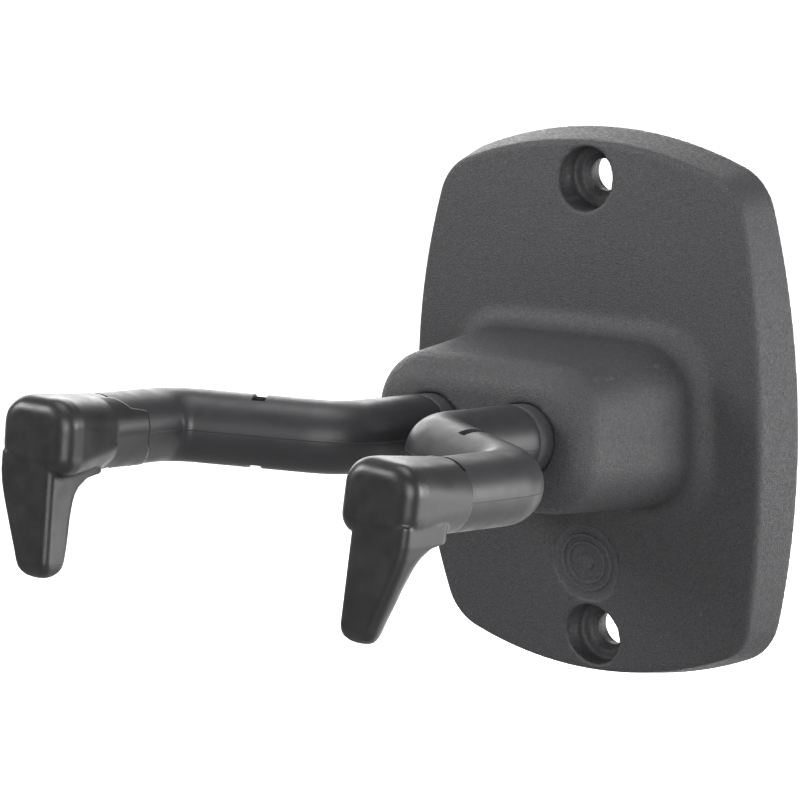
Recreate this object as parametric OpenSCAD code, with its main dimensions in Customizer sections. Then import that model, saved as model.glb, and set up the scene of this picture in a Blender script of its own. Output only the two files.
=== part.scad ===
// Wall hanger for a guitar: a domed wall plate with a boss, and two cranked
// arms that swivel in it about their own shanks.
//
// Frame: X to the right, Y into the wall, Z up, in millimetres. The origin is
// the centre of the plate's back face, on the wall. The front is -Y.
//
// Each arm is drawn in its own arm frame: x outward, y up and z forward along
// the shank, from the point where the shank's axis leaves the boss's face.

/* [Wall plate] */
// Overall width of the plate at the wall
plate_w = 77.6; // [70:0.1:100]
// Overall height of the plate at the wall
plate_h = 100; // [90:0.1:120]
// How far the plate's edge leans in, on each side
edge_lean = 1.4; // [0.5:0.1:3]
// Thickness at the corners, before the dome is added
corner_t = 6; // [5:0.1:8]
// Rise of the front face from top and bottom to the middle
dome_rise_h = 4.7; // [2:0.1:6]
// Rise of the front face from the sides to the middle
dome_rise_w = 2.5; // [1:0.1:4]
// Radius of the bulging left and right sides
side_bow_r = 157; // [120:1:300]
// Radius of the bulging top and bottom edges
end_bow_r = 76; // [70:1:150]
// Corner radius of the front outline
corner_r = 9; // [6:0.5:12]
// Wall thickness of the moulding
wall_t = 3; // [2:0.1:3.5]

/* [Wall screws] */
// Distance between the two screw holes
screw_span = 83.2; // [80:0.1:84]
// Radius of the counterbore for the screw head
counterbore_r = 5.7; // [5:0.1:6]
// Height of the counterbore's floor above the wall
screw_seat_y = 4.6; // [4:0.1:5]
// Radius of the shallow pocket in the counterbore's floor
seat_pocket_r = 3.8; // [3:0.1:4.5]
// Radius of the through hole
screw_hole_r = 2.9; // [2:0.05:3]

/* [Boss] */
// How far the shank axes' exit point stands off the wall
boss_reach = 44.5; // [40:0.5:55]
// Half width of the boss at the plate, with its fillet
boss_foot_w = 29.2; // [27:0.1:31]
// Half width of the boss just above its fillet
boss_base_w = 25.2; // [23:0.1:26]
// Half width of the boss at the front, before its edge is rounded
boss_front_w = 23.6; // [22.5:0.1:25]
// Top and bottom of the boss above its fillet
boss_base_z = [-15.8, 14.6];
// Top and bottom of the boss at the front
boss_front_z = [-12.6, 14.2];
// Radius of the fillet between plate and boss
boss_fillet_r = 4; // [3:0.5:5]
// Radius of the boss's front edge
boss_edge_r = 5.5; // [4:0.5:7]

/* [Badge recess] */
// Height of the round recess's centre
badge_z = -28; // [-30:0.5:-26]
// Radius of the round recess
badge_r = 7.2; // [5:0.1:8]
// Depth of the round recess
badge_depth = 0.5; // [0.3:0.1:0.8]

/* [Arms] */
// Distance between the two shanks
shank_gap = 20; // [18:0.1:22]
// Height of the shank axes where they leave the boss
shank_z = 1.1; // [-2:0.1:3]
// How steeply the arms rise from the wall, in degrees
arm_rise = 6; // [0:0.5:10]
// How the right arm stands, in degrees: positive is up
right_turn = -5.8; // [-30:0.1:30]
// How the left arm stands, in degrees: positive is up
left_turn = 2.2; // [-30:0.1:30]
// Distance from the boss's face to the first bend's corner
bend_1_z = 26.4; // [24:0.1:30]
// Distance from the boss's face to the second bend's corner
bend_2_z = 39.9; // [38:0.1:45]
// Sideways offset of the head from the shank
arm_offset = 26.6; // [20:0.1:30]
// Centreline radius of both bends
bend_r = 8.5; // [8:0.1:10]
// Radius of the steel rod
rod_r = 4; // [3:0.1:4.5]
// Radius of the soft sleeve
sleeve_r = 6.4; // [6:0.1:7]

/* [End caps] */
// Where the cap's rear edge lies along the arm
cap_rear_z = 60.5; // [58:0.1:62]
// Where the cap's front face lies along the arm
cap_front_z = 78.7; // [76:0.1:82]
// How far the cap's inner tab reaches back over the sleeve
cap_tab = 6.2; // [5:0.1:7]
// Distance from the arm's axis to the finger's tip
finger_drop = 24; // [20:0.5:30]
// Thickness of the finger, front to back
finger_t = 7; // [5:0.1:8]

/* [Swivel] */
// How far the bush's collar stands out of the boss
collar_h = 3.3; // [2:0.1:4]
// Swing each way from level, in degrees
swing = 30; // [20:1:35]
// Radial running clearance of the rod in its bushes
running_gap = 0.05; // [0.02:0.01:0.08]

/* [Hidden] */

tiny = 0.01;
right = 1;
left = -1;

front_w = plate_w / 2 - edge_lean;
front_h = plate_h / 2 - edge_lean;
front_edge_r = 0.9;
back_plate_t = 1.5;
hollow_inset = wall_t + 2;
seat_inset = 2.6;
back_plate_gap = 0.2;
rise_slope = tan(arm_rise);
badge_tilt = atan(2 * dome_rise_h * badge_z / (front_h * front_h));

bush_r = 6;
front_bush_depth = 10.5;
rear_bush_depth = 9;
rear_flange_r = 7.5;
bush_collar_r = sleeve_r;
bush_hole_gap = 0.05;
block_front = -wall_t - 0.3;
block_back = -26;
block_half_w = 19.4;
block_half_h = 9.6;
block_chamfer = 5;
leg_w = [18.1, 21.1];
leg_half_h = 4.8;
leg_length = 16;
foot_x = 25.5;
foot_z = 7;
foot_h = 4;
foot_rim = 4;
foot_bore_r = 2;
pocket_w = 4;
pocket_wall = 3;
pocket_depth = 14;
post_x = 27;
post_z = 32;
post_r = 3.4;
post_h = 6.5;
post_pilot_r = 1.25;
screw_post_r = 6.7;
seat_pocket_depth = 0.9;
screw_clearance_r = 3.6;
badge_rings = [[4.9, 5.4], [3.6, 4.0]];
badge_dot_r = 1.4;
badge_ring_h = 0.8;

// own screws, as [hole, head, shank] radii and length
post_screw = [1.6, 2.9, 1.22, 6];
foot_screw = [2.1, 3.5, 1.97, 7];

rear_flange_t = 1.5;
washer_t = 1;
washer_r = 7.4;
washer_gap = 0.1;
spring_r = 7.2;
spring_t = 0.6;
spring_h = 1.4;
stop_t = 2;
stop_back = block_back - rear_flange_t - washer_t - spring_h - stop_t - 0.1;
nut_h = 7;
nut_af = 13;
rod_back = stop_back - nut_h - 1.6;
tooth_r = 11.5;
tooth_w = 3;
stop_post_r = 1.5;
stop_post_at = 10.4;
stop_post_angle = swing + asin((tooth_w / 2 + stop_post_r + 0.12) / stop_post_at);

bend_angle = atan2(arm_offset, bend_2_z - bend_1_z);
bend_run = bend_r * tan(bend_angle / 2);
bend_start = bend_1_z - bend_run;
head_start = bend_2_z + bend_run;
bend_steps = 7;
rod_sides = 32;
rod_front = cap_front_z - 5;
tab_from = 142;
tab_to = 246;
fit_gap = 0.02;

// ---------------------------------------------------------------- outlines

// Points of an arc, without its last point
function arc_points(c, r, a0, a1, n) =
    [for (i = [0 : n - 1]) let (a = a0 + (a1 - a0) * i / n) c + r * [cos(a), sin(a)]];

// Corner centre of a bowed rectangle: it lies rs - rc from the side arc's
// centre and rt - rc from the end arc's centre
function corner_centre(c1, r1, c2, r2) =
    let (d = norm(c2 - c1), a = (r1 * r1 - r2 * r2 + d * d) / (2 * d), u = (c2 - c1) / d)
    c1 + a * u + sqrt(r1 * r1 - a * a) * [-u[1], u[0]];

// A quarter of the bowed rectangle, from the side to the end
function quarter(a, b, rs, rt, rc) =
    let (cs = [a - rs, 0], ct = [0, b - rt], p = corner_centre(cs, rs - rc, ct, rt - rc),
         a1 = atan2(p[1] - cs[1], p[0] - cs[0]), a2 = atan2(p[1] - ct[1], p[0] - ct[0]))
    concat(arc_points(cs, rs, 0, a1, 3), arc_points(p, rc, a1, a2, 8),
           arc_points(ct, rt, a2, 90, 4));

function flipped(points, sx, sz) = [for (p = points) [p[0] * sx, p[1] * sz]];
function backwards(points) = [for (i = [len(points) - 1 : -1 : 0]) points[i]];

// A closed bowed rectangle of half width a and half height b
function bowed(a, b, rs, rt, rc) =
    let (q = quarter(a, b, rs, rt, rc), top = [[0, b]], side = [[a, 0]],
         inner = [for (i = [1 : len(q) - 1]) q[i]])
    concat(side, inner, top, backwards(flipped(inner, -1, 1)), flipped(side, -1, 1),
           flipped(inner, -1, -1), flipped(top, 1, -1), backwards(flipped(inner, 1, -1)));

// The plate's front outline, moved in by the given distance
function plate_outline(inset) =
    bowed(front_w - inset, front_h - inset, side_bow_r - inset, end_bow_r - inset,
          max(corner_r - inset, 1.5));

// The boss's outline, from its half width and its bottom and top
function boss_outline(w, z, rc) =
    let (half = (z[1] - z[0]) / 2, mid = (z[1] + z[0]) / 2)
    [for (p = bowed(w, half, 300, 400, rc)) [p[0], p[1] + mid]];

// Height of the domed front face over the wall at a point
function dome(x, z) =
    corner_t + dome_rise_h * (1 - pow(z / front_h, 2)) + dome_rise_w * (1 - pow(x / front_w, 2));

function blend(p, q, t) = [for (i = [0 : len(p) - 1]) p[i] * (1 - t) + q[i] * t];
function on_dome(points, lift = 0) = [for (p = points) [p[0], -dome(p[0], p[1]) - lift, p[1]]];
// Points on the boss's leaning face, moved back into the boss by the given distance
function on_boss_face(points, back) =
    [for (p = points) [p[0], -boss_reach + (p[1] - shank_z) * rise_slope + back, p[1]]];

// Closed skin with flat ends over rings of points, each ring a full loop
module skin(rings) {
    n = len(rings[0]);
    m = len(rings);
    points = [for (r = rings) for (p = r) p];
    first = [for (i = [0 : n - 1]) i];
    last = [for (i = [n - 1 : -1 : 0]) (m - 1) * n + i];
    band = [for (j = [0 : m - 2]) for (i = [0 : n - 1])
            let (a = j * n, b = a + n, k = (i + 1) % n)
            each [[a + i, b + i, b + k], [a + i, b + k, a + k]]];
    polyhedron(points = points, faces = concat([first], band, [last]), convexity = 6);
}

// ------------------------------------------------------------- wall plate

// Rings of the plate and boss, from the wall out to the boss's face
function shell_rings() =
    let (edge = [for (a = [0, 30, 60, 90])
                     on_dome(plate_outline(front_edge_r * (1 - cos(a))),
                             front_edge_r * (sin(a) - 1))],
         rounding = [for (a = [0, 22.5, 45, 67.5, 90])
                     boss_ring(boss_edge_r * (1 - cos(a)), boss_edge_r * (1 - sin(a)))])
    concat([flat_ring(plate_outline(-edge_lean), 0)], edge,
           dome_rings(plate_outline(front_edge_r), 0), rounding);

// Rings of the hollow behind them, from the boss's face back to the wall: a
// ledge at the end takes the back plate
function hollow_rings() =
    concat([boss_ring(wall_t, wall_t)], backwards(dome_rings(plate_outline(hollow_inset + 1), wall_t)),
           [on_dome(plate_outline(hollow_inset), -wall_t - 1),
            flat_ring(plate_outline(hollow_inset), -back_plate_t),
            flat_ring(plate_outline(seat_inset), -back_plate_t),
            flat_ring(plate_outline(seat_inset), 0)]);

function flat_ring(points, y) = [for (p = points) [p[0], y, p[1]]];

// Rings over the dome from an outline to the boss's foot and up its fillet,
// all moved in by t
function dome_rings(outline, t) =
    let (foot = foot_outline(t),
         steps = [for (s = [0.25, 0.5, 0.75]) on_dome(blend(outline, foot, s), -t)],
         fillet = [for (a = [0, 25, 50, 78])
                   on_dome(foot_outline(t + boss_fillet_r * sin(a)),
                          boss_fillet_r * (1 - cos(a)) - t)])
    concat(steps, fillet);

// The boss's outline at its foot, moved in by the given distance
function foot_outline(in) =
    boss_outline(boss_foot_w - in,
                 [boss_base_z[0] - boss_fillet_r + in, boss_base_z[1] + boss_fillet_r - in],
                 12 - in / 2);

// The boss's front outline, moved in and back by the given distances
function boss_ring(in, back) =
    on_boss_face(boss_outline(boss_front_w - in, [boss_front_z[0] + in, boss_front_z[1] - in],
                              9.5 - 0.7 * in), back);

// Places children at every wall screw, with z pointing out of the wall
module at_wall_screws() {
    for (z = [-1, 1])
        translate([0, 0, z * screw_span / 2])
            rotate([90, 0, 0]) children();
}

// Places children at the self-tapping screws of the back plate
module at_posts() {
    for (x = [-1, 1], z = [-1, 1])
        translate([x * post_x, 0, z * post_z])
            rotate([90, 0, 0]) children();
}

// Places children at the machine screws of the bearing block
module at_feet() {
    for (x = [-1, 1], z = [-1, 1])
        translate([x * foot_x, 0, z * foot_z])
            rotate([90, 0, 0]) children();
}

// Places children in an arm's own frame, mirrored for the left arm
module arm_frame(side) {
    translate([side * shank_gap / 2, -boss_reach, shank_z])
        rotate([90 - arm_rise, 0, 0])
            mirror([side == left ? 1 : 0, 0, 0])
                children();
}

// The same, turned to where that arm stands
module turned_arm(side) {
    arm_frame(side)
        rotate([0, 0, side == right ? right_turn : left_turn])
            children();
}

// Ring in the badge's recess
module badge_ring(r_in, r_out) {
    difference() {
        cylinder(r = r_out, h = 1, $fn = 64);
        translate([0, 0, -1]) cylinder(r = r_in, h = 3, $fn = 64);
    }
}

// Tool that sinks the round recess and leaves two plain rings and a dot
module badge_cut() {
    translate([0, -dome(0, badge_z), badge_z])
        rotate([90 - badge_tilt, 0, 0]) difference() {
            translate([0, 0, -badge_depth]) cylinder(r = badge_r, h = 2, $fn = 64);
            translate([0, 0, -badge_depth - badge_ring_h]) {
                for (ring = badge_rings) badge_ring(ring[0], ring[1]);
                cylinder(r = badge_dot_r, h = 1, $fn = 64);
            }
        }
}

module wall_plate() {
    color([0.16, 0.16, 0.17]) difference() {
        union() {
            skin(concat(hollow_rings(), shell_rings()));
            at_wall_screws() translate([0, 0, back_plate_t]) cylinder(r = screw_post_r, h = post_h, $fn = 64);
            at_posts() translate([0, 0, back_plate_t]) cylinder(r = post_r, h = post_h, $fn = 32);
        }
        at_wall_screws() {
            cylinder(r = screw_hole_r, h = 20, $fn = 64);
            translate([0, 0, screw_seat_y - seat_pocket_depth]) cylinder(r = seat_pocket_r, h = 20, $fn = 64);
            translate([0, 0, screw_seat_y]) cylinder(r = counterbore_r, h = 20, $fn = 64);
        }
        at_posts() cylinder(r = post_pilot_r, h = post_h, $fn = 32);
        for (side = [left, right])
            arm_frame(side) translate([0, 0, -wall_t * 2])
                cylinder(r = bush_collar_r + bush_hole_gap, h = wall_t * 3, $fn = 64);
        badge_cut();
    }
}

// -------------------------------------------------------------- back plate

module countersink(r_hole, r_head) {
    translate([0, 0, -1]) cylinder(r = r_hole, h = 10, $fn = 32);
    translate([0, 0, -tiny]) cylinder(r1 = r_head + tiny, r2 = r_hole, h = r_head - r_hole, $fn = 32);
}

module back_plate() {
    color([0.13, 0.13, 0.14]) difference() {
        rotate([90, 0, 0]) linear_extrude(height = back_plate_t)
            polygon(plate_outline(seat_inset + back_plate_gap));
        at_wall_screws() translate([0, 0, -1]) cylinder(r = screw_clearance_r, h = 5, $fn = 64);
        at_posts() countersink(post_screw[0], post_screw[1]);
        at_feet() countersink(foot_screw[0], foot_screw[1]);
    }
}

// Screw with a countersunk head and a plain cross slot
module countersunk_screw(r_shank, r_head, length) {
    difference() {
        union() {
            cylinder(r1 = r_head, r2 = r_shank, h = r_head - r_shank, $fn = 32);
            cylinder(r = r_shank, h = length - 1, $fn = 32);
            translate([0, 0, length - 1]) cylinder(r1 = r_shank, r2 = r_shank * 0.6, h = 1, $fn = 32);
        }
        for (a = [0, 90])
            rotate([0, 0, a]) translate([-r_head * 0.55, -0.3, -1]) cube([r_head * 1.1, 0.6, 1.9]);
    }
}

module back_plate_screws() {
    color([0.75, 0.76, 0.78]) at_posts() translate([0, 0, 0.05])
        countersunk_screw(post_screw[2], 2.5, post_screw[3]);
}

module block_screws() {
    color([0.75, 0.76, 0.78]) at_feet() translate([0, 0, 0.05])
        countersunk_screw(foot_screw[2], 3.3, foot_screw[3]);
}

// ----------------------------------------------------------- bearing block

// Both arms' frames without the mirror: x to the right for both
module at_shanks() {
    for (side = [left, right]) arm_frame(side) children();
}

// Rectangle of half width a and half height b with its corners cut off by c
function chamfered(a, b, c) =
    [[a, b - c], [a - c, b], [c - a, b], [-a, b - c], [-a, c - b], [c - a, -b], [a - c, -b], [a, c - b]];

module bearing_block() {
    foot_top = back_plate_t + foot_h;
    color([0.70, 0.70, 0.71]) difference() {
        union() {
            translate([0, -boss_reach, shank_z]) rotate([90 - arm_rise, 0, 0]) {
                translate([0, 0, block_back]) linear_extrude(height = block_front - block_back)
                    polygon(chamfered(block_half_w, block_half_h, block_chamfer));
                for (s = [0, 1]) mirror([s, 0, 0])
                    translate([leg_w[0], -leg_half_h, block_back - leg_length])
                        cube([leg_w[1] - leg_w[0], 2 * leg_half_h, leg_length + 2]);
            }
            for (s = [0, 1]) mirror([s, 0, 0])
                translate([leg_w[0] + 1, -foot_top, -foot_z - foot_rim])
                    cube([foot_x + foot_rim - leg_w[0] - 1, foot_h, 2 * (foot_z + foot_rim)]);
            at_shanks() for (a = [-1, 1]) rotate([0, 0, 90 + a * stop_post_angle])
                translate([stop_post_at, 0, stop_back])
                    cylinder(r = stop_post_r, h = block_back - stop_back + 2, $fn = 24);
        }
        // trims the legs flush with the feet
        translate([-50, -back_plate_t, -50]) cube([100, 50, 100]);
        at_shanks() translate([0, 0, block_back - 1]) cylinder(r = bush_r, h = 30, $fn = 64);
        at_feet() cylinder(r = foot_bore_r, h = 20, $fn = 32);
        // lightening pocket between the bores
        translate([0, -boss_reach, shank_z]) rotate([90 - arm_rise, 0, 0])
            translate([-pocket_w / 2, pocket_wall - block_half_h, block_front - pocket_depth])
                cube([pocket_w, 2 * (block_half_h - pocket_wall), pocket_depth + 1]);
    }
}

// ------------------------------------------------------------------ swivel

module front_bush(side) {
    color([0.13, 0.13, 0.14]) arm_frame(side) difference() {
        union() {
            translate([0, 0, block_front])
                cylinder(r = bush_collar_r, h = collar_h - block_front, $fn = 64);
            translate([0, 0, block_front - front_bush_depth])
                cylinder(r = bush_r, h = front_bush_depth + 0.5, $fn = 64);
        }
        translate([0, 0, -20]) cylinder(r = rod_r + running_gap, h = 40, $fn = 64);
    }
}

module rear_bush(side) {
    color([0.85, 0.85, 0.82]) arm_frame(side) difference() {
        union() {
            translate([0, 0, block_back]) cylinder(r = bush_r, h = rear_bush_depth, $fn = 64);
            translate([0, 0, block_back - rear_flange_t])
                cylinder(r = rear_flange_r, h = rear_flange_t, $fn = 64);
        }
        translate([0, 0, -40]) cylinder(r = rod_r + running_gap, h = 40, $fn = 64);
    }
}

module thrust_washer(side) {
    color([0.72, 0.72, 0.74]) arm_frame(side)
        translate([0, 0, block_back - rear_flange_t - washer_t]) difference() {
            cylinder(r = washer_r, h = washer_t, $fn = 64);
            translate([0, 0, -1]) cylinder(r = rod_r + washer_gap, h = washer_t + 2, $fn = 64);
        }
}

// Coned spring washer that keeps the swivel stiff
module spring_washer(side) {
    top = block_back - rear_flange_t - washer_t - 0.02;
    color([0.55, 0.56, 0.60]) arm_frame(side)
        rotate_extrude($fn = 64)
            polygon([[rod_r + 0.15, top - spring_h], [rod_r + 0.15, top - spring_h + spring_t],
                     [spring_r, top], [spring_r, top - spring_t]]);
}

// Washer with a flat and a tooth, which turns with the rod
module stop_plate(side) {
    color([0.66, 0.66, 0.68]) turned_arm(side) translate([0, 0, stop_back]) difference() {
        union() {
            cylinder(r = spring_r, h = stop_t, $fn = 64);
            translate([-tooth_w / 2, 0, 0]) cube([tooth_w, tooth_r, stop_t]);
        }
        difference() {
            translate([0, 0, -1]) cylinder(r = rod_r + fit_gap, h = stop_t + 2, $fn = 64);
            translate([-5, -5 - rod_r + 1, -1]) cube([10, 5, stop_t + 2]);
        }
    }
}

module lock_nut(side) {
    color([0.74, 0.74, 0.76]) turned_arm(side) translate([0, 0, stop_back - nut_h - 0.05]) difference() {
        union() {
            translate([0, 0, 2]) cylinder(r = nut_af / 2 / cos(30), h = nut_h - 2, $fn = 6);
            cylinder(r1 = 5.4, r2 = 6.2, h = 2.01, $fn = 64);
        }
        translate([0, 0, -1]) cylinder(r = rod_r + fit_gap, h = nut_h + 2, $fn = 64);
    }
}

// ---------------------------------------------------------------- the arms

// Centreline of the cranked rod from its first bend on, as [x, z, lean]
function crank_path(z_end) =
    concat([for (i = [0 : bend_steps]) let (a = bend_angle * i / bend_steps)
            [bend_r * (1 - cos(a)), bend_start + bend_r * sin(a), a]],
           [for (i = [0 : bend_steps]) let (a = bend_angle * (1 - i / bend_steps))
            [arm_offset - bend_r * (1 - cos(a)), head_start - bend_r * sin(a), a]],
           [[arm_offset, z_end, 0]]);

// Circles of radius r across a path
function circles_along(path, r) =
    [for (p = path) [for (i = [1 : rod_sides]) let (a = 360 * i / rod_sides)
        [p[0] + r * cos(a) * cos(p[2]), r * sin(a), p[1] - r * cos(a) * sin(p[2])]]];

module arm_rod(side) {
    flat_top = stop_back + stop_t + 0.2;
    color([0.70, 0.71, 0.73]) turned_arm(side) {
        difference() {
            translate([0, 0, rod_back]) cylinder(r = rod_r, h = bend_start - rod_back, $fn = 64);
            // flat that the stop plate sits on
            translate([-5, -4 - rod_r, rod_back - 1]) cube([10, 5, flat_top - rod_back + 1]);
        }
        skin(circles_along(concat([[0, bend_start - 0.5, 0]], crank_path(rod_front)), rod_r - tiny));
    }
}

// One bend of the sleeve, in the plane of the arm
module sleeve_bend() {
    rotate_extrude(angle = bend_angle, $fn = 64) translate([bend_r, 0]) difference() {
        circle(r = sleeve_r, $fn = 64);
        circle(r = rod_r + fit_gap, $fn = 64);
    }
}

module sleeve_straight(length) {
    difference() {
        cylinder(r = sleeve_r, h = length, $fn = 64);
        translate([0, 0, -1]) cylinder(r = rod_r + fit_gap, h = length + 2, $fn = 64);
    }
}

// Sleeve that follows the rod: shank, two bends and head
module cranked_sleeve(z_start, z_end) {
    diagonal = norm([arm_offset, bend_2_z - bend_1_z]) - 2 * bend_run;
    translate([0, 0, z_start]) sleeve_straight(bend_start - z_start);
    translate([bend_r, 0, bend_start]) rotate([90, 0, 180]) sleeve_bend();
    translate([bend_r * (1 - cos(bend_angle)), 0, bend_start + bend_r * sin(bend_angle)])
        rotate([0, bend_angle, 0]) sleeve_straight(diagonal);
    translate([arm_offset - bend_r, 0, head_start]) rotate([90, 0, 0]) rotate([0, 0, -bend_angle])
        sleeve_bend();
    translate([arm_offset, 0, head_start]) sleeve_straight(z_end - head_start);
}

// Wedge about the head's axis that covers the cap's tab, on the inner side
module tab_sector(z_from, z_to, r_in, r_out) {
    translate([arm_offset, 0, z_from]) difference() {
        cylinder(r = r_out, h = z_to - z_from, $fn = 64);
        translate([0, 0, -1]) cylinder(r = r_in, h = z_to - z_from + 2, $fn = 64);
        for (a = [tab_from - 90, tab_to + 90])
            rotate([0, 0, a]) translate([0, -10, -1]) cube([20, 20, z_to - z_from + 2]);
    }
}

module arm_sleeve(side) {
    notch_x = 12.8;
    notch_z = bend_1_z + notch_x / tan(bend_angle);
    color([0.20, 0.20, 0.21]) turned_arm(side) difference() {
        cranked_sleeve(collar_h + 0.2, cap_rear_z - 0.05);
        // moulding notches over and under the diagonal
        translate([notch_x, 0, notch_z]) rotate([0, bend_angle, 0]) {
            translate([-3, sleeve_r - 1.5, -1.7]) cube([6, 3, 3.4]);
            translate([-3, -sleeve_r - 2, -1.4]) cube([6, 3, 2.6]);
        }
        tab_sector(cap_rear_z - cap_tab - 0.1, cap_rear_z + 1, 5.15, 9);
    }
}

// Disc with a rounded front edge
module rounded_disc(r, edge, h) {
    rotate_extrude($fn = 32) {
        square([r - edge, h]);
        square([r, h - edge]);
        translate([r - edge, h - edge]) circle(r = edge, $fn = 32);
    }
}

module cap_head() {
    disc_h = 5;
    hull() {
        translate([arm_offset, 0, cap_rear_z]) cylinder(r = sleeve_r + 0.05, h = 1, $fn = 48);
        for (x = [-3.1, 1.9], y = [-1.4, 1.9])
            translate([arm_offset + x, y, cap_front_z - disc_h]) rounded_disc(5, 2, disc_h);
    }
}

// Flat-fronted finger that hangs from the head and narrows from its outer side
module cap_finger() {
    rear = cap_front_z - finger_t;
    r = 1.6;
    big = 3.2;
    hull() {
        for (x = [-4.9 + r, 6.6 - r])
            translate([arm_offset + x, -2.5, cap_front_z - r]) sphere(r, $fn = 24);
        translate([arm_offset - 4.7 + r, -2.5, rear + r]) sphere(r, $fn = 24);
        translate([arm_offset + 6.4 - big, -2.5, rear + big]) sphere(big, $fn = 24);
        for (x = [-5.1 + r, 1.9 - r])
            translate([arm_offset + x, -finger_drop + r, cap_front_z + 0.1 - r]) sphere(r, $fn = 24);
        translate([arm_offset - 4.9 + r, -finger_drop + r, rear + 0.8 + r]) sphere(r, $fn = 24);
        translate([arm_offset + 1.7 - r, -finger_drop + r, rear + 2.6]) sphere(r, $fn = 24);
    }
}

// Curved web behind the finger, under the head
module cap_web() {
    web_r = 8;
    rear = cap_front_z - finger_t;
    difference() {
        translate([arm_offset - 4.3, -14.2, rear - web_r]) cube([9.6, 11.5, web_r + 2]);
        translate([0, -14.2, rear - web_r]) rotate([0, 90, 0]) cylinder(r = web_r, h = 60, $fn = 64);
        // takes the outer rear corner off
        translate([arm_offset + 5.3, -20, rear + 1])
            rotate([0, -32, 0]) translate([0, 0, -20]) cube([10, 30, 24]);
    }
}

module end_cap(side) {
    color([0.14, 0.14, 0.15]) turned_arm(side) difference() {
        union() {
            cap_head();
            cap_finger();
            cap_web();
            tab_sector(cap_rear_z - cap_tab, cap_rear_z + 1, 5.2, sleeve_r + 0.25);
        }
        translate([arm_offset, 0, cap_rear_z - 1])
            cylinder(r = rod_r + fit_gap, h = rod_front - cap_rear_z + 1.3, $fn = 64);
        // parting slits over and under the arm
        for (y = [sleeve_r - 0.5, -sleeve_r - 1])
            translate([arm_offset - 3, y, cap_rear_z - tiny]) cube([6.5, 1.5, 0.6]);
    }
}

wall_plate();
back_plate();
back_plate_screws();
bearing_block();
block_screws();
front_bush(right);  // right_front_bush
front_bush(left);  // left_front_bush
rear_bush(right);  // right_rear_bush
rear_bush(left);  // left_rear_bush
thrust_washer(right);  // right_thrust_washer
thrust_washer(left);  // left_thrust_washer
spring_washer(right);  // right_spring_washer
spring_washer(left);  // left_spring_washer
stop_plate(right);  // right_stop_plate
stop_plate(left);  // left_stop_plate
lock_nut(right);  // right_lock_nut
lock_nut(left);  // left_lock_nut
arm_rod(right);  // right_arm_rod
arm_rod(left);  // left_arm_rod
arm_sleeve(right);  // right_arm_sleeve
arm_sleeve(left);  // left_arm_sleeve
end_cap(right);  // right_end_cap
end_cap(left);  // left_end_cap
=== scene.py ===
"""Looks of a wall hanger for a guitar: a domed wall plate with a boss, and two cranked, rubber-covered
arms that swivel in it. Lengths are in millimetres until a mesh is made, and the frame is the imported
model's: X to the right, Y into the wall, Z up. An arm's own frame has x outward, y up and z forward
along its shank, from the point where the shank's axis leaves the boss."""

from math import atan2, cos, hypot, pi, radians, sin, sqrt, tan

import bmesh
import bpy
from mathutils import Matrix, Vector


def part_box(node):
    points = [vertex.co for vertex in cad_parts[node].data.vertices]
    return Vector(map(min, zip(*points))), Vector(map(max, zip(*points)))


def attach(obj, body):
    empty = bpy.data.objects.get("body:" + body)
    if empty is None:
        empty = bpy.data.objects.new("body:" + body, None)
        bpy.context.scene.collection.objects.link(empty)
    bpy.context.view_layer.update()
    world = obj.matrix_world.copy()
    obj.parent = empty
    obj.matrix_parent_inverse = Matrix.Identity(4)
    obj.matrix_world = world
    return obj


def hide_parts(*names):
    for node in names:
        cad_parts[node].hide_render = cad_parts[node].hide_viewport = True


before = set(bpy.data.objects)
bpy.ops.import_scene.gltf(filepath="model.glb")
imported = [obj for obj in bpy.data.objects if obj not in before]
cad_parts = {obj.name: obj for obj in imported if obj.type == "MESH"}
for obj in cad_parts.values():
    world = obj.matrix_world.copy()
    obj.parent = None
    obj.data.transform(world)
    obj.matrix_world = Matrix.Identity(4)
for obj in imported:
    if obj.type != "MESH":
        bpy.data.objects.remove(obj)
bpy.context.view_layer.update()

MM = 0.001
RIGHT, LEFT = 1, -1

# ---------------------------------------------------------------- driving sizes

plate_low, plate_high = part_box("wall_plate")
PLATE_W = (plate_high[0] - plate_low[0]) / MM
PLATE_H = (plate_high[2] - plate_low[2]) / MM
EDGE_LEAN = 1.4
FRONT_W = PLATE_W / 2 - EDGE_LEAN
FRONT_H = PLATE_H / 2 - EDGE_LEAN
CORNER_T = 6.0
DOME_RISE_H = 4.7
DOME_RISE_W = 2.5
SIDE_BOW_R = 157.0
END_BOW_R = 76.0
CORNER_R = 9.0
FRONT_EDGE_R = 0.9
BACK_EDGE_R = 0.5
WALL_T = 3.0
BACK_PLATE_T = 1.5
SEAT_INSET = 2.6
HOLLOW_INSET = 5.0

SCREW_SPAN = 83.2
SCREW_HOLE_R = 2.9
SEAT_POCKET_R = 3.8
SEAT_POCKET_DEPTH = 0.9
COUNTERBORE_R = 5.7
SCREW_SEAT_Y = 4.6
SCREW_POST_R = 6.7
POST_X, POST_Z = 27.0, 32.0
POST_R = 3.4
POST_END_Y = 8.0

BOSS_REACH = 44.5
BOSS_FOOT_W = 29.2
BOSS_FRONT_W = 23.6
BOSS_BASE_Z = (-15.8, 14.6)
BOSS_FRONT_Z = (-12.6, 14.2)
BOSS_FILLET_R = 4.0
BOSS_EDGE_R = 5.5

BADGE_Z = -28.0
BADGE_R = 7.2
BADGE_DEPTH = 0.5
BADGE_RINGS = ((5.4, 4.9), (4.0, 3.6))

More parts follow.
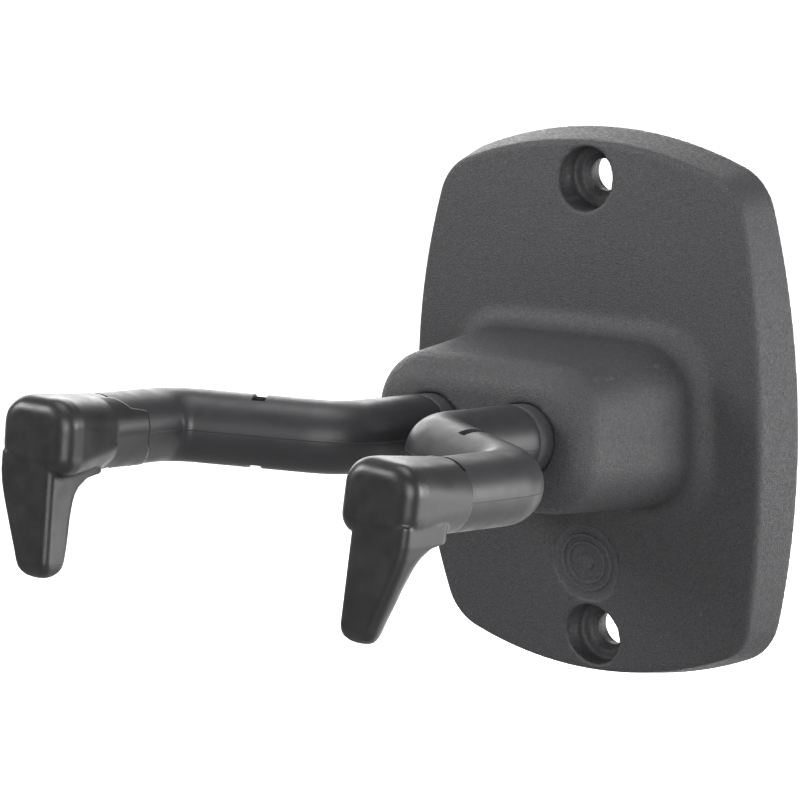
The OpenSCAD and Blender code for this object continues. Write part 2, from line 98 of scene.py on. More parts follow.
SHANK_X = 10.0
SHANK_Z = 1.1
ARM_RISE = radians(6)
ARM_TURN = {RIGHT: radians(-5.8), LEFT: radians(2.2)}
BEND_1_Z = 26.4
BEND_2_Z = 39.9
ARM_OFFSET = 26.6
BEND_R = 8.5
ROD_R = 4.0
SLEEVE_R = 6.4
COLLAR_H = 3.3
COLLAR_EDGE_R = 0.5
NOTCH_X = 12.8
NOTCH_HALF_W = 3.0
NOTCH_HALF_L = 1.2
BUSH_R = 6.0
BUSH_BACK = -13.8
BUSH_BORE_R = 4.05
CAP_REAR_Z = 60.5
CAP_FRONT_Z = 78.7
HEAD_EDGE_R = 2.8

BEND_ANGLE = atan2(ARM_OFFSET, BEND_2_Z - BEND_1_Z)
BEND_RUN = BEND_R * tan(BEND_ANGLE / 2)
BEND_START = BEND_1_Z - BEND_RUN
HEAD_START = BEND_2_Z + BEND_RUN

# ------------------------------------------------------------------ mesh tools


def add_piece(name, vertices, faces, matrix=None):
    """A new object from millimetre points, with its normals facing out."""
    mesh = bpy.data.meshes.new(name)
    mesh.from_pydata([Vector(v) for v in vertices], [], faces)
    if matrix is not None:
        mesh.transform(matrix)
    mesh.transform(Matrix.Scale(MM, 4))
    work = bmesh.new()
    work.from_mesh(mesh)
    bmesh.ops.remove_doubles(work, verts=work.verts, dist=1e-7)
    bmesh.ops.recalc_face_normals(work, faces=work.faces)
    work.to_mesh(mesh)
    work.free()
    obj = bpy.data.objects.new(name, mesh)
    bpy.context.collection.objects.link(obj)
    return obj


def join_shapes(*shapes):
    """One list of points and faces from several."""
    vertices, faces = [], []
    for some_vertices, some_faces in shapes:
        start = len(vertices)
        vertices += some_vertices
        faces += [[start + i for i in face] for face in some_faces]
    return vertices, faces


def moved(shape, matrix):
    """The same shape, put elsewhere."""
    return [matrix @ Vector(v) for v in shape[0]], shape[1]


def loft(rings, looped=False):
    """Skin over rings of as many points each. It is capped at both ends, or joined end to end."""
    n = len(rings[0])
    vertices = [p for ring in rings for p in ring]
    faces = []
    for j in range(len(rings) if looped else len(rings) - 1):
        a, b = j * n, (j + 1) % len(rings) * n
        faces += [(a + i, b + i, b + (i + 1) % n, a + (i + 1) % n) for i in range(n)]
    if not looped:
        faces.append(tuple(range(n)))
        faces.append(tuple(range(len(vertices) - 1, len(vertices) - n - 1, -1)))
    return vertices, faces


def lathe(profile, sides=96):
    """Solid of revolution about z from points (radius, height), closed on the axis or on itself."""
    rings = [
        [(r * cos(2 * pi * i / sides), r * sin(2 * pi * i / sides), h) for i in range(sides)]
        for r, h in profile
    ]
    return loft(rings, looped=profile[0][0] > 0)


def box_shape(low, high):
    """Box between two opposite corners."""
    corners = [(x, y, z) for z in (low[2], high[2]) for y in (low[1], high[1]) for x in (low[0], high[0])]
    return corners, [(0, 1, 3, 2), (4, 6, 7, 5), (0, 4, 5, 1), (2, 3, 7, 6), (0, 2, 6, 4), (1, 5, 7, 3)]


def hull_shape(points):
    """Convex hull of points."""
    work = bmesh.new()
    for p in points:
        work.verts.new(p)
    result = bmesh.ops.convex_hull(work, input=work.verts)
    spare = result["geom_interior"] + result["geom_unused"]
    loose = [e for e in spare if isinstance(e, bmesh.types.BMVert)]
    bmesh.ops.delete(work, geom=list(set(loose)), context="VERTS")
    work.verts.index_update()
    shape = [v.co.copy() for v in work.verts], [[v.index for v in f.verts] for f in work.faces]
    work.free()
    return shape


def settle(obj):
    """Applies the object's modifiers."""
    done = obj.evaluated_get(bpy.context.evaluated_depsgraph_get())
    mesh = bpy.data.meshes.new_from_object(done)
    obj.modifiers.clear()
    obj.data = mesh
    mesh.name = obj.name


def combine(obj, other, operation):
    """Boolean of two objects. The second one is used up."""
    step = obj.modifiers.new("combine", "BOOLEAN")
    step.operation = operation
    step.solver = "EXACT"
    step.use_self = True
    step.object = other
    settle(obj)
    bpy.data.objects.remove(other)


def mould(obj, voxel, smoothing):
    """Gives a solid the slightly soft edges of a moulding."""
    step = obj.modifiers.new("voxels", "REMESH")
    step.mode = "VOXEL"
    step.voxel_size = voxel * MM
    step.use_smooth_shade = True
    step = obj.modifiers.new("soften", "SMOOTH")
    step.factor = 0.5
    step.iterations = smoothing
    settle(obj)


def shade(obj, angle=40):
    """Smooth shading, with edges sharper than the angle left crisp."""
    obj.data.shade_smooth()
    obj.data.set_sharp_from_angle(angle=radians(angle))


def finish_piece(obj, nodes, body, material):
    """Puts a piece in place of CAD nodes, with its body and material."""
    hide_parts(*nodes)
    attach(obj, body)
    obj.data.materials.clear()
    obj.data.materials.append(material)


# ------------------------------------------------------------------- outlines


def arc(centre, r, start, end, n):
    """Points of an arc, without its last point."""
    angles = [start + (end - start) * i / n for i in range(n)]
    return [(centre[0] + r * cos(a), centre[1] + r * sin(a)) for a in angles]


def bowed(a, b, side_r, end_r, corner_r):
    """Bowed rectangle of half width a and half height b, counter-clockwise from the right."""
    side_c, end_c = (a - side_r, 0), (0, b - end_r)
    r1, r2 = side_r - corner_r, end_r - corner_r
    dx, dz = end_c[0] - side_c[0], end_c[1] - side_c[1]
    d = hypot(dx, dz)
    along = (r1 * r1 - r2 * r2 + d * d) / (2 * d)
    across = sqrt(r1 * r1 - along * along)
    corner = (side_c[0] + (along * dx - across * dz) / d, side_c[1] + (along * dz + across * dx) / d)
    a1 = atan2(corner[1] - side_c[1], corner[0] - side_c[0])
    a2 = atan2(corner[1] - end_c[1], corner[0] - end_c[0])
    quarter = arc(side_c, side_r, 0, a1, 10)
    quarter += arc(corner, corner_r, a1, a2, 14)
    quarter += arc(end_c, end_r, a2, pi / 2, 12)
    rest = quarter[1:]
    return (
        quarter
        + [(0, b)]
        + [(-x, z) for x, z in reversed(rest)]
        + [(-a, 0)]
        + [(-x, -z) for x, z in rest]
        + [(0, -b)]
        + [(x, -z) for x, z in reversed(rest)]
    )


def plate_outline(inset):
    """The plate's front outline, moved in."""
    corner_r = max(CORNER_R - inset, 1.5)
    return bowed(FRONT_W - inset, FRONT_H - inset, SIDE_BOW_R - inset, END_BOW_R - inset, corner_r)


def boss_outline(half_w, low, high, corner_r):
    half, middle = (high - low) / 2, (high + low) / 2
    return [(x, z + middle) for x, z in bowed(half_w, half, 300, 400, corner_r)]


def dome(x, z):
    """Height of the domed front face over the wall."""
    return CORNER_T + DOME_RISE_H * (1 - (z / FRONT_H) ** 2) + DOME_RISE_W * (1 - (x / FRONT_W) ** 2)


def on_dome(outline, lift=0.0):
    return [(x, -dome(x, z) - lift, z) for x, z in outline]


def flat_ring(outline, y):
    return [(x, y, z) for x, z in outline]


def boss_ring(inset, back):
    """Ring of the boss's leaning front face, moved in and back."""
    outline = boss_outline(
        BOSS_FRONT_W - inset, BOSS_FRONT_Z[0] + inset, BOSS_FRONT_Z[1] - inset, 9.5 - 0.7 * inset
    )
    return [(x, -BOSS_REACH + (z - SHANK_Z) * tan(ARM_RISE) + back, z) for x, z in outline]


def foot_outline(inset):
    """The boss's outline at its foot, moved in."""
    return boss_outline(
        BOSS_FOOT_W - inset,
        BOSS_BASE_Z[0] - BOSS_FILLET_R + inset,
        BOSS_BASE_Z[1] + BOSS_FILLET_R - inset,
        12 - inset / 2,
    )


def blended(a, b, t):
    return [(p[0] * (1 - t) + q[0] * t, p[1] * (1 - t) + q[1] * t) for p, q in zip(a, b)]


def dome_rings(outline, t, steps):
    """Rings over the dome to the boss's foot and up its fillet, all moved in by t."""
    rings = [on_dome(blended(outline, foot_outline(t), i / steps), -t) for i in range(1, steps)]
    turns = [radians(78) * i / steps for i in range(steps + 1)]
    for a in turns:
        rings.append(on_dome(foot_outline(t + BOSS_FILLET_R * sin(a)), BOSS_FILLET_R * (1 - cos(a)) - t))
    return rings


# ---------------------------------------------------------------- wall plate


def out_of_wall(x, z):
    """Places z out of the wall at a point of the plate."""
    return Matrix.Translation((x, 0, z)) @ Matrix.Rotation(pi / 2, 4, "X")


def arm_matrix(side, turned=True):
    """Places an arm's own frame, turned to where that arm stands."""
    place = Matrix.Translation((side * SHANK_X, -BOSS_REACH, SHANK_Z))
    place = place @ Matrix.Rotation(pi / 2 - ARM_RISE, 4, "X") @ Matrix.Diagonal((side, 1, 1, 1))
    return place @ Matrix.Rotation(ARM_TURN[side], 4, "Z") if turned else place


def badge_matrix():
    """Places z out of the dome at the badge."""
    slope = atan2(-2 * DOME_RISE_H * BADGE_Z, FRONT_H**2)
    return Matrix.Translation((0, -dome(0, BADGE_Z), BADGE_Z)) @ Matrix.Rotation(pi / 2 + slope, 4, "X")


def make_wall_plate():
    """Domed plate and boss in one hollow moulding, with its screw posts, holes and badge recess."""
    hollow = [boss_ring(WALL_T, WALL_T)]
    hollow += list(reversed(dome_rings(plate_outline(HOLLOW_INSET + 1), WALL_T, 5)))
    hollow += [
        on_dome(plate_outline(HOLLOW_INSET), -WALL_T - 1),
        flat_ring(plate_outline(HOLLOW_INSET), -BACK_PLATE_T),
        flat_ring(plate_outline(SEAT_INSET), -BACK_PLATE_T),
        flat_ring(plate_outline(SEAT_INSET), 0),
    ]
    turns = [pi / 2 * i / 6 for i in range(7)]
    shell = [
        flat_ring(plate_outline(-EDGE_LEAN + BACK_EDGE_R * (1 - sin(a))), -BACK_EDGE_R * (1 - cos(a)))
        for a in (0, pi / 6, pi / 3, pi / 2)
    ]
    for a in turns:
        shell.append(on_dome(plate_outline(FRONT_EDGE_R * (1 - cos(a))), FRONT_EDGE_R * (sin(a) - 1)))
    shell += dome_rings(plate_outline(FRONT_EDGE_R), 0, 12)
    shell += [boss_ring(BOSS_EDGE_R * (1 - cos(a)), BOSS_EDGE_R * (1 - sin(a))) for a in turns]
    plate = add_piece("plate_shell", *loft(hollow + shell))

    posts = [(0, z * SCREW_SPAN / 2, SCREW_POST_R) for z in (-1, 1)]
    posts += [(x * POST_X, z * POST_Z, POST_R) for x in (-1, 1) for z in (-1, 1)]
    solids = [
        moved(
            lathe([(0, BACK_PLATE_T), (r, BACK_PLATE_T), (r, POST_END_Y), (0, POST_END_Y)], 48),
            out_of_wall(x, z),
        )
        for x, z, r in posts
    ]
    combine(plate, add_piece("posts", *join_shapes(*solids)), "UNION")

    screw_profile = [
        (0, -1),
        (SCREW_HOLE_R, -1),
        (SCREW_HOLE_R, SCREW_SEAT_Y - SEAT_POCKET_DEPTH),
        (SEAT_POCKET_R, SCREW_SEAT_Y - SEAT_POCKET_DEPTH),
        (SEAT_POCKET_R, SCREW_SEAT_Y),
        (COUNTERBORE_R, SCREW_SEAT_Y),
        (COUNTERBORE_R, 20),
        (0, 20),
    ]
    bush_hole_r = SLEEVE_R + 0.05
    bush_hole = [(0, -2 * WALL_T), (bush_hole_r, -2 * WALL_T), (bush_hole_r, WALL_T), (0, WALL_T)]
    badge_floor = -BADGE_DEPTH - 0.3
    badge_hole = [(0, badge_floor), (BADGE_R, badge_floor), (BADGE_R, 2), (0, 2)]
    cuts = [moved(lathe(screw_profile), out_of_wall(0, z * SCREW_SPAN / 2)) for z in (-1, 1)]
    cuts += [moved(lathe(bush_hole), arm_matrix(side, turned=False)) for side in (RIGHT, LEFT)]
    cuts.append(moved(lathe(badge_hole), badge_matrix()))
    combine(plate, add_piece("holes", *join_shapes(*cuts)), "DIFFERENCE")
    mould(plate, voxel=0.36, smoothing=8)
    return plate


def make_badge():
    """Plain disc with concentric rings, which fills the bottom of the round recess."""
    floor = -BADGE_DEPTH
    profile = [(0, floor - 0.25), (BADGE_R - 0.05, floor - 0.25), (BADGE_R - 0.05, floor)]
    top, slope = floor + 0.2, 0.12
    for outer, inner in BADGE_RINGS:
        profile += [(outer + slope, floor), (outer, top), (inner, top), (inner - slope, floor)]
    profile += [(1.5, floor), (1.35, top), (0, floor + 0.24)]
    badge = add_piece("badge_disc", *lathe(profile), badge_matrix())
    shade(badge)
    return badge


# -------------------------------------------------------------------- the arms


def crank_path(z_start, z_end):
    """Centreline of the cranked arm as (x, z, lean), evenly spaced in its straight stretches."""
    bends = 16
    path = [(0, z_start + (BEND_START - z_start) * i / 8, 0) for i in range(8)]
    for i in range(bends + 1):
        a = BEND_ANGLE * i / bends
        path.append((BEND_R * (1 - cos(a)), BEND_START + BEND_R * sin(a), a))
    x0, z0 = path[-1][:2]
    x1 = ARM_OFFSET - BEND_R * (1 - cos(BEND_ANGLE))
    z1 = HEAD_START - BEND_R * sin(BEND_ANGLE)
    path += [(x0 + (x1 - x0) * i / 12, z0 + (z1 - z0) * i / 12, BEND_ANGLE) for i in range(1, 12)]
    for i in range(bends + 1):
        a = BEND_ANGLE * (1 - i / bends)
        path.append((ARM_OFFSET - BEND_R * (1 - cos(a)), HEAD_START - BEND_R * sin(a), a))
    path += [(ARM_OFFSET, HEAD_START + (z_end - HEAD_START) * i / 6, 0) for i in range(1, 7)]
    return path


def sleeve_angles():
    """Angles round the sleeve, closer together at the two parting lines."""
    quarter = [0, 0.9, 1.8, 3.2] + [6 + 7 * i for i in range(12)]
    half = quarter + [90] + [180 - a for a in reversed(quarter[1:])]
    return [radians(a) for a in half] + [radians(a + 180) for a in half]


def ring_across(place, r, ridge=0.0):
    """Circle across the path, with a fine ridge at the parting lines."""
    x, z, lean = place
    ring = []
    for a in sleeve_angles():
        away = min(abs(sin(a)), 1) if cos(a) ** 2 > 0.5 else 1
        wide = r + (ridge if away < 0.012 else 0)
        ring.append((x + wide * cos(a) * cos(lean), wide * sin(a), z - wide * cos(a) * sin(lean)))
    return ring


def make_sleeve(side):
    """Soft tube over the cranked rod, which runs a little way into the cap."""
    z_start, z_end = COLLAR_H + 0.2, CAP_REAR_Z + 1.2
    path = crank_path(z_start, z_end)
    soft = 0.6
    outer = []
    for a in (0, pi / 8, pi / 4, 3 * pi / 8, pi / 2):
        place = (0, z_start + soft * (1 - cos(a)), 0)
        outer.append(ring_across(place, SLEEVE_R - soft * (1 - sin(a))))
    outer += [ring_across(p, SLEEVE_R, 0.05) for p in path[1:]]
    inner = [ring_across(p, ROD_R + 0.03) for p in reversed(path)]
    sleeve = add_piece(side_name(side, "sleeve_cover"), *loft(outer + inner, looped=True), arm_matrix(side))

    notch = Matrix.Translation((NOTCH_X, 0, BEND_1_Z + NOTCH_X / tan(BEND_ANGLE)))
    notch = arm_matrix(side) @ notch @ Matrix.Rotation(BEND_ANGLE, 4, "Y")
    cuts = [
        moved(box_shape((-NOTCH_HALF_W, low, -NOTCH_HALF_L), (NOTCH_HALF_W, high, NOTCH_HALF_L)), notch)
        for low, high in ((SLEEVE_R - 1.6, SLEEVE_R + 1), (-SLEEVE_R - 1, -SLEEVE_R + 1))
    ]
    cuts += [moved(slit, arm_matrix(side)) for slit in slits(CAP_REAR_Z + 3)]
    combine(sleeve, add_piece("notches", *join_shapes(*cuts)), "DIFFERENCE")
    shade(sleeve)
    return sleeve


def slits(z_to=CAP_REAR_Z + 0.65):
    """Short parting slits over and under the arm, between sleeve and cap."""
    spans = ((50, 114), (-118, -66))
    return [
        sector([a0 + (a1 - a0) * i / 12 for i in range(13)], lambda _: CAP_REAR_Z - 0.05, z_to, 5.3, 9)
        for a0, a1 in spans
    ]


def side_name(side, name):
    return ("right_" if side == RIGHT else "left_") + name


def circle(x, y, z, r, n):
    return [(x + r * cos(2 * pi * i / n), y + r * sin(2 * pi * i / n), z) for i in range(n)]


def disc_with_edge(x, y, r, z_front, edge, z_rear):
    """Points of a disc with a rounded front edge, to hull with others."""
    points = []
    for j in range(9):
        a = pi / 2 * j / 8
        points += circle(x, y, z_front - edge * (1 - sin(a)), r - edge * (1 - cos(a)), 48)
    return points + circle(x, y, z_rear, r, 48)


def cap_head():
    """Block over the rod's end: round where the sleeve ends, with four rounded corners in front."""
    rear = circle(ARM_OFFSET, 0, CAP_REAR_Z, SLEEVE_R + 0.02, 64)
    rear += circle(ARM_OFFSET, 0, CAP_REAR_Z + 1, SLEEVE_R + 0.02, 64)
    # each corner: x and y of its centre from the rod's axis, and its radius
    corners = ((-3.1, 1.9, 5.0), (1.9, 1.9, 5.0), (1.9, -1.4, 5.0), (-4.6, -2.9, 3.5))
    front = [
        p
        for x, y, r in corners
        for p in disc_with_edge(ARM_OFFSET + x, y, r, CAP_FRONT_Z, HEAD_EDGE_R, CAP_FRONT_Z - 4.5)
    ]
    return hull_shape(rear + front)


def finger_section(y, inner, outer, rear, front, corner):
    """Rounded section of the finger at a height: front corners tight, rear outer corner wide."""
    front_r, inner_r = min(1.5, corner), min(1.6, corner)
    wide = min(4.6, (outer - inner) * 0.6, front - rear - front_r - 0.2)
    ring = []
    for cx, cz, r, start in (
        (outer - front_r, front - front_r, front_r, 0),
        (inner + front_r, front - front_r, front_r, 90),
        (inner + inner_r, rear + inner_r, inner_r, 180),
        (outer - wide, rear + wide, wide, 270),
    ):
        for k in range(9):
            a = radians(start + 90 * k / 8)
            ring.append((ARM_OFFSET + cx + r * cos(a), y, cz + r * sin(a)))
    return ring


def cap_finger():
    """Finger under the head, with a curved web behind it that runs up to the head's underside."""
    # each level: height, inner side, outer side, rear side, and how far the front is rounded back
    levels = [
        (-3.0, -5.1, 6.5, 64.0, 0.0),
        (-6.4, -5.1, 6.5, 64.0, 0.0),
        (-7.0, -5.1, 6.4, 67.6, 0.0),
        (-8.4, -5.1, 6.2, 69.8, 0.0),
        (-9.6, -5.1, 5.9, 70.7, 0.0),
        (-11.0, -5.1, 5.5, 71.2, 0.0),
        (-14.0, -5.1, 4.5, 71.7, 0.0),
        (-17.0, -5.1, 3.5, 71.9, 0.0),
        (-19.0, -5.1, 2.8, 72.1, 0.0),
        (-21.2, -5.1, 2.1, 72.5, 0.0),
        (-22.2, -4.97, 1.75, 72.8, 0.15),
        (-23.0, -4.6, 1.2, 73.3, 0.5),
        (-23.6, -4.0, 0.5, 74.0, 1.1),
        (-23.9, -3.3, -0.3, 74.7, 1.8),
        (-24.0, -2.6, -1.0, 75.3, 2.4),
    ]
    rings = []
    for y, inner, outer, rear, back in levels:
        front = CAP_FRONT_Z - 0.05 - back
        rings.append(finger_section(y, inner, outer, rear, front, (outer - inner) / 2 - 0.1))
    return loft(rings)


def sector(angles, z_of, z_end, r_in, r_out):
    """Curved patch about the head's axis, from z_of(angle) to z_end."""
    rings = []
    for degrees in angles:
        a = radians(degrees)
        z = z_of(degrees)
        section = ((r_in, z), (r_out, z), (r_out, z_end), (r_in, z_end))
        rings.append([(ARM_OFFSET + r * cos(a), r * sin(a), h) for r, h in section])
    return loft(rings)


def tab_rear(degrees):
    """Rear edge of the cap's inner tab, by angle about the head's axis."""
    corners = ((112, 60.4), (138, 57.9), (145, 53.9), (191, 54.2), (246, 51.0))
    for (a0, z0), (a1, z1) in zip(corners, corners[1:]):
        if degrees <= a1:
            return z0 + (z1 - z0) * (degrees - a0) / (a1 - a0)
    return corners[-1][1]


def make_cap(side):
    """End cap with its finger, the tab over the sleeve and the parting slits."""
    tab_angles = [112 + 2 * i for i in range(68)]
    bodies = [cap_head(), cap_finger()]
    bodies.append(sector(tab_angles, tab_rear, CAP_REAR_Z + 3, SLEEVE_R - 0.9, SLEEVE_R + 0.4))
    cap = add_piece(side_name(side, "cap_cover"), *join_shapes(*bodies), arm_matrix(side))
    step = cap.modifiers.new("union", "REMESH")
    step.mode = "VOXEL"
    step.voxel_size = 0.2 * MM
    settle(cap)
    combine(cap, add_piece("slits", *join_shapes(*slits()), arm_matrix(side)), "DIFFERENCE")
    mould(cap, voxel=0.2, smoothing=5)
    return cap


def make_bush(side):
    """Bush with the collar that shows between boss and sleeve."""
    step = -WALL_T - 0.3
    profile = [(BUSH_BORE_R, BUSH_BACK), (BUSH_R, BUSH_BACK), (BUSH_R, step), (SLEEVE_R, step)]
    for a in [pi / 2 * i / 5 for i in range(6)]:
        profile.append((SLEEVE_R - COLLAR_EDGE_R * (1 - cos(a)), COLLAR_H - COLLAR_EDGE_R * (1 - sin(a))))
    profile.append((BUSH_BORE_R, COLLAR_H))
    bush = add_piece(side_name(side, "bush_collar"), *lathe(profile), arm_matrix(side, turned=False))
    shade(bush)
    return bush


# ------------------------------------------------------------------- materials


def new_material(name, color, roughness, specular=0.5, metallic=0.0):
    """A principled material, with constants on the shader's own sockets."""
    material = bpy.data.materials.new(name)
    material.use_nodes = True
    shader = material.node_tree.nodes["Principled BSDF"]
    shader.inputs["Base Color"].default_value = (*color, 1)
    shader.inputs["Roughness"].default_value = roughness
    shader.inputs["Specular IOR Level"].default_value = specular
    shader.inputs["Metallic"].default_value = metallic
    return material, material.node_tree, shader


def noise(tree, size_mm, detail=2.0, roughness=0.5):
    """Noise in the object's own space, with features of about the given size."""
    place = tree.nodes.new("ShaderNodeTexCoord")
    texture = tree.nodes.new("ShaderNodeTexNoise")
    texture.inputs["Scale"].default_value = 1 / (size_mm * MM)
    texture.inputs["Detail"].default_value = detail
    texture.inputs["Roughness"].default_value = roughness
    tree.links.new(place.outputs["Object"], texture.inputs["Vector"])
    return texture.outputs["Fac"]


def spread(tree, value, low, high):
    """Maps the middle of a noise's range to low..high."""
    node = tree.nodes.new("ShaderNodeMapRange")
    node.inputs["From Min"].default_value = 0.3
    node.inputs["From Max"].default_value = 0.7
    node.inputs["To Min"].default_value = low
    node.inputs["To Max"].default_value = high
    tree.links.new(value, node.inputs["Value"])
    return node.outputs["Result"]


def bump(tree, shader, height, depth_mm, strength=1.0, under=None):
    """Bump of about the given depth, over another bump if there is one."""
    node = tree.nodes.new("ShaderNodeBump")
    node.inputs["Distance"].default_value = depth_mm * MM
    node.inputs["Strength"].default_value = strength
    tree.links.new(height, node.inputs["Height"])
    if under is not None:
        tree.links.new(under.outputs["Normal"], node.inputs["Normal"])
    tree.links.new(node.outputs["Normal"], shader.inputs["Normal"])
    return node


def tint(tree, shader, value, dark, light):
    """Colour between two tints, by a value."""
    node = tree.nodes.new("ShaderNodeMix")
    node.data_type = "RGBA"
    node.inputs[6].default_value = (*dark, 1)
    node.inputs[7].default_value = (*light, 1)
    tree.links.new(value, node.inputs[0])
    tree.links.new(node.outputs[2], shader.inputs["Base Color"])


def painted_edge_highlight(tree, base, amount):
    """Adds a little to a value where the surface is convex: a painted highlight along the edges."""
    geometry = tree.nodes.new("ShaderNodeNewGeometry")
    edge = tree.nodes.new("ShaderNodeMapRange")
    edge.inputs["From Min"].default_value = 0.52
    edge.inputs["From Max"].default_value = 0.62
    edge.inputs["To Max"].default_value = amount
    tree.links.new(geometry.outputs["Pointiness"], edge.inputs["Value"])
    total = tree.nodes.new("ShaderNodeMath")
    total.operation = "ADD"
    tree.links.new(base, total.inputs[0])
    tree.links.new(edge.outputs["Result"], total.inputs[1])
    return total.outputs[0]


def grained_plastic():
    """Black moulding with a fine spark-eroded grain that sparkles, and a painted highlight along its convex
    edges.
    """
    material, tree, shader = new_material("grained_black_plastic", (0.03, 0.03, 0.032), 0.5)
    speck = spread(tree, noise(tree, 0.22, 2.0, 0.8), 0.0, 1.0)
    tint(tree, shader, painted_edge_highlight(tree, speck, 0.5), (0.008, 0.008, 0.009), (0.056, 0.056, 0.060))
    tree.links.new(spread(tree, noise(tree, 0.6, 2.0), 0.42, 0.66), shader.inputs["Roughness"])
    fine = bump(tree, shader, noise(tree, 0.17, 2.0), 0.06, 1.0)
    bump(tree, shader, noise(tree, 0.34, 3.0, 0.65), 0.08, 1.0, fine)
    return material


def satin_rubber(name, color, roughness, grain_mm, depth_mm):
    """Smooth, slightly uneven black rubber or plastic, with a painted highlight along its convex edges."""
    material, tree, shader = new_material(name, color, roughness)
    cloud = noise(tree, 9, 3.0)
    light = tuple(c * 1.35 for c in color)
    tint(tree, shader, painted_edge_highlight(tree, spread(tree, cloud, 0.0, 0.7), 0.4), color, light)
    sheen = spread(tree, noise(tree, 3.5, 4.0), roughness - 0.06, roughness + 0.07)
    tree.links.new(sheen, shader.inputs["Roughness"])
    bump(tree, shader, noise(tree, grain_mm, 2.0), depth_mm, 0.7)
    return material


def plain_metal(name, color, roughness, grain_mm):
    """Zinc-plated or drawn metal with a faint grain."""
    material, tree, shader = new_material(name, color, roughness, metallic=1.0)
    cloud = noise(tree, 6, 4.0)
    tint(tree, shader, spread(tree, cloud, 0.0, 1.0), tuple(c * 0.86 for c in color), color)
    sheen = spread(tree, noise(tree, 2.0, 4.0), roughness - 0.08, roughness + 0.1)
    tree.links.new(sheen, shader.inputs["Roughness"])
    bump(tree, shader, noise(tree, grain_mm, 3.0), 0.015, 0.5)
    return material


# -------------------------------------------------------------------- assembly

plate_look = grained_plastic()
rubber_look = satin_rubber("satin_black_rubber", (0.018, 0.018, 0.020), 0.42, 0.5, 0.012)
cap_look = satin_rubber("satin_black_cap", (0.012, 0.012, 0.013), 0.36, 0.45, 0.010)
bush_look = plate_look
# The back plate's steel is made dark as painted shade, standing in for the shade inside the screw holes.
painted_shade_steel_look = satin_rubber("steel_dark_as_painted_shade", (0.014, 0.014, 0.015), 0.5, 0.4, 0.015)
liner_look = satin_rubber("natural_nylon", (0.62, 0.61, 0.56), 0.5, 0.6, 0.010)
zinc_look = plain_metal("zinc_plate", (0.60, 0.61, 0.63), 0.38, 0.5)
screw_look = plain_metal("bright_zinc", (0.68, 0.69, 0.71), 0.30, 0.4)
casting_look = plain_metal("die_casting", (0.52, 0.52, 0.53), 0.52, 0.9)
spring_look = plain_metal("spring_steel", (0.36, 0.37, 0.40), 0.42, 0.4)

finish_piece(make_wall_plate(), ["wall_plate"], "wall", plate_look)
badge = make_badge()
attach(badge, "wall")
badge.data.materials.append(plate_look)

for side, body in ((RIGHT, "right_arm"), (LEFT, "left_arm")):
    finish_piece(make_sleeve(side), [side_name(side, "arm_sleeve")], body, rubber_look)
    finish_piece(make_cap(side), [side_name(side, "end_cap")], body, cap_look)
    finish_piece(make_bush(side), [side_name(side, "front_bush")], "wall", bush_look)

CAD_LOOKS = {
    "back_plate": painted_shade_steel_look,
    "back_plate_screws": screw_look,
    "block_screws": screw_look,
    "bearing_block": casting_look,
    "rear_bush": liner_look,
    "thrust_washer": zinc_look,
    "spring_washer": spring_look,
    "stop_plate": zinc_look,
    "lock_nut": screw_look,
    "arm_rod": spring_look,
}
for node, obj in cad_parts.items():
    look = CAD_LOOKS.get(node.removeprefix("right_").removeprefix("left_"))
    if look is not None:
        obj.data.materials.clear()
        obj.data.materials.append(look)

# ------------------------------------------------------------ stage and camera

FLOOR_Z = -0.55


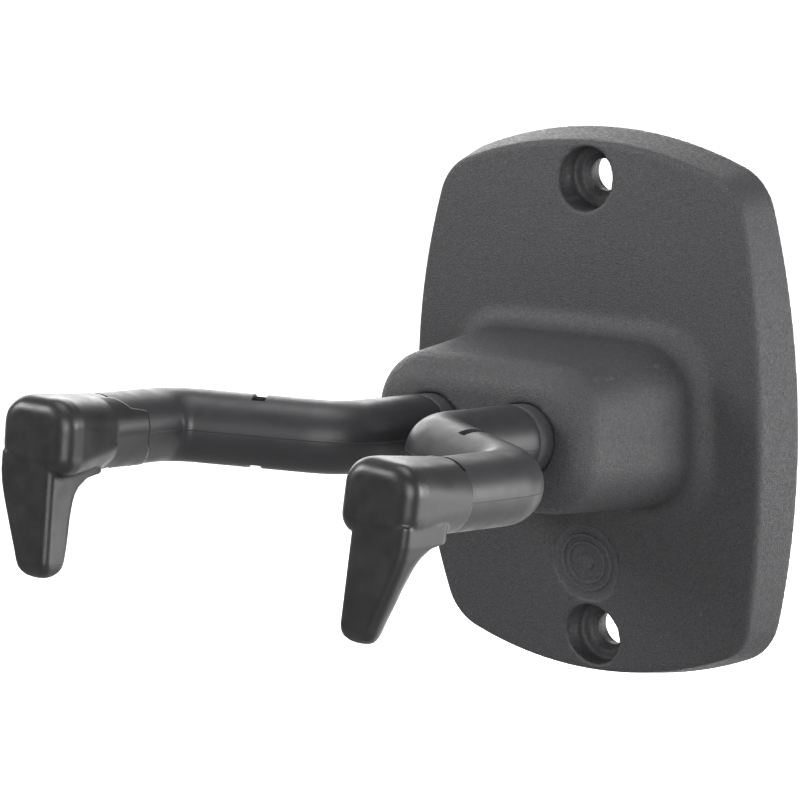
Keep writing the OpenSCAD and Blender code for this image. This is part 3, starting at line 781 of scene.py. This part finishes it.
def make_floor():
    """Floor with a painted glow far behind the hanger, and a darker grey under it as painted shade."""
    half = 9.0
    corners = ((-half, -half), (half, -half), (half, half), (-half, half))
    floor = add_piece("floor", [(x / MM, y / MM, FLOOR_Z / MM) for x, y in corners], [(0, 1, 2, 3)])
    material, tree, shader = new_material("floor_painted_glow_and_shade", (0.92, 0.92, 0.92), 0.9, specular=0.1)
    shader.inputs["Emission Color"].default_value = (1, 1, 1, 1)
    place = tree.nodes.new("ShaderNodeTexCoord")
    axes = tree.nodes.new("ShaderNodeSeparateXYZ")
    tree.links.new(place.outputs["Object"], axes.inputs[0])
    glow_and_shade_mask = tree.nodes.new("ShaderNodeMapRange")
    glow_and_shade_mask.interpolation_type = "SMOOTHSTEP"
    glow_and_shade_mask.inputs["From Min"].default_value = 0.2
    glow_and_shade_mask.inputs["From Max"].default_value = 1.3
    tree.links.new(axes.outputs["Y"], glow_and_shade_mask.inputs["Value"])
    tree.links.new(glow_and_shade_mask.outputs["Result"], shader.inputs["Emission Strength"])
    # Painted shade: darker grey near and under the hanger, grading to the pale painted glow farther back.
    tint(tree, shader, glow_and_shade_mask.outputs["Result"], (0.30, 0.30, 0.30), (0.92, 0.92, 0.92))
    floor.data.materials.append(material)


def add_light(name, place, target, size, watts, color=(1, 1, 1)):
    """Soft rectangular light that faces its target."""
    light = bpy.data.lights.new(name, "AREA")
    light.shape = "RECTANGLE"
    light.size, light.size_y = size
    light.energy = watts
    light.color = color
    obj = bpy.data.objects.new(name, light)
    obj.location = place
    obj.rotation_euler = (Vector(target) - Vector(place)).to_track_quat("-Z", "Y").to_euler()
    bpy.context.collection.objects.link(obj)


def set_world(strength):
    """Even white surroundings."""
    world = bpy.data.worlds.new("studio")
    world.use_nodes = True
    background = world.node_tree.nodes["Background"]
    background.inputs["Color"].default_value = (1, 1, 1, 1)
    background.inputs["Strength"].default_value = strength
    bpy.context.scene.world = world


def set_camera():
    """Camera that looks down on the hanger from the right."""
    camera = bpy.data.cameras.new("camera")
    camera.lens = 294.3
    camera.sensor_width = 36
    obj = bpy.data.objects.new("camera", camera)
    right = Vector((0.80729, 0.58977, -0.02135))
    forward = Vector((-0.58287, 0.79112, -0.18546))
    up = right.cross(forward)
    basis = Matrix((right, up, -forward)).transposed()
    obj.matrix_world = Matrix.Translation((0.6567, -0.9580, 0.2199)) @ basis.to_4x4()
    camera.clip_start = 0.05
    camera.clip_end = 60
    bpy.context.collection.objects.link(obj)
    bpy.context.scene.camera = obj


make_floor()
set_world(0.30)
add_light("key", (-1.5, -1.2, 1.1), (0, -0.05, 0), (1.2, 0.8), 40)
add_light("front_right", (1.45, -1.5, 0.35), (0, -0.05, 0), (1.4, 1.0), 38)
add_light("rear_left", (-1.6, 1.7, 0.8), (0, -0.03, 0), (2.4, 1.4), 42)
add_light("rear_right", (1.9, 1.3, 0.05), (0.02, -0.02, 0), (1.2, 0.9), 40)
add_light("top", (0.1, 0.2, 2.2), (0, 0, 0), (1.6, 1.2), 22)
set_camera()
bpy.context.scene.view_settings.view_transform = "Standard"
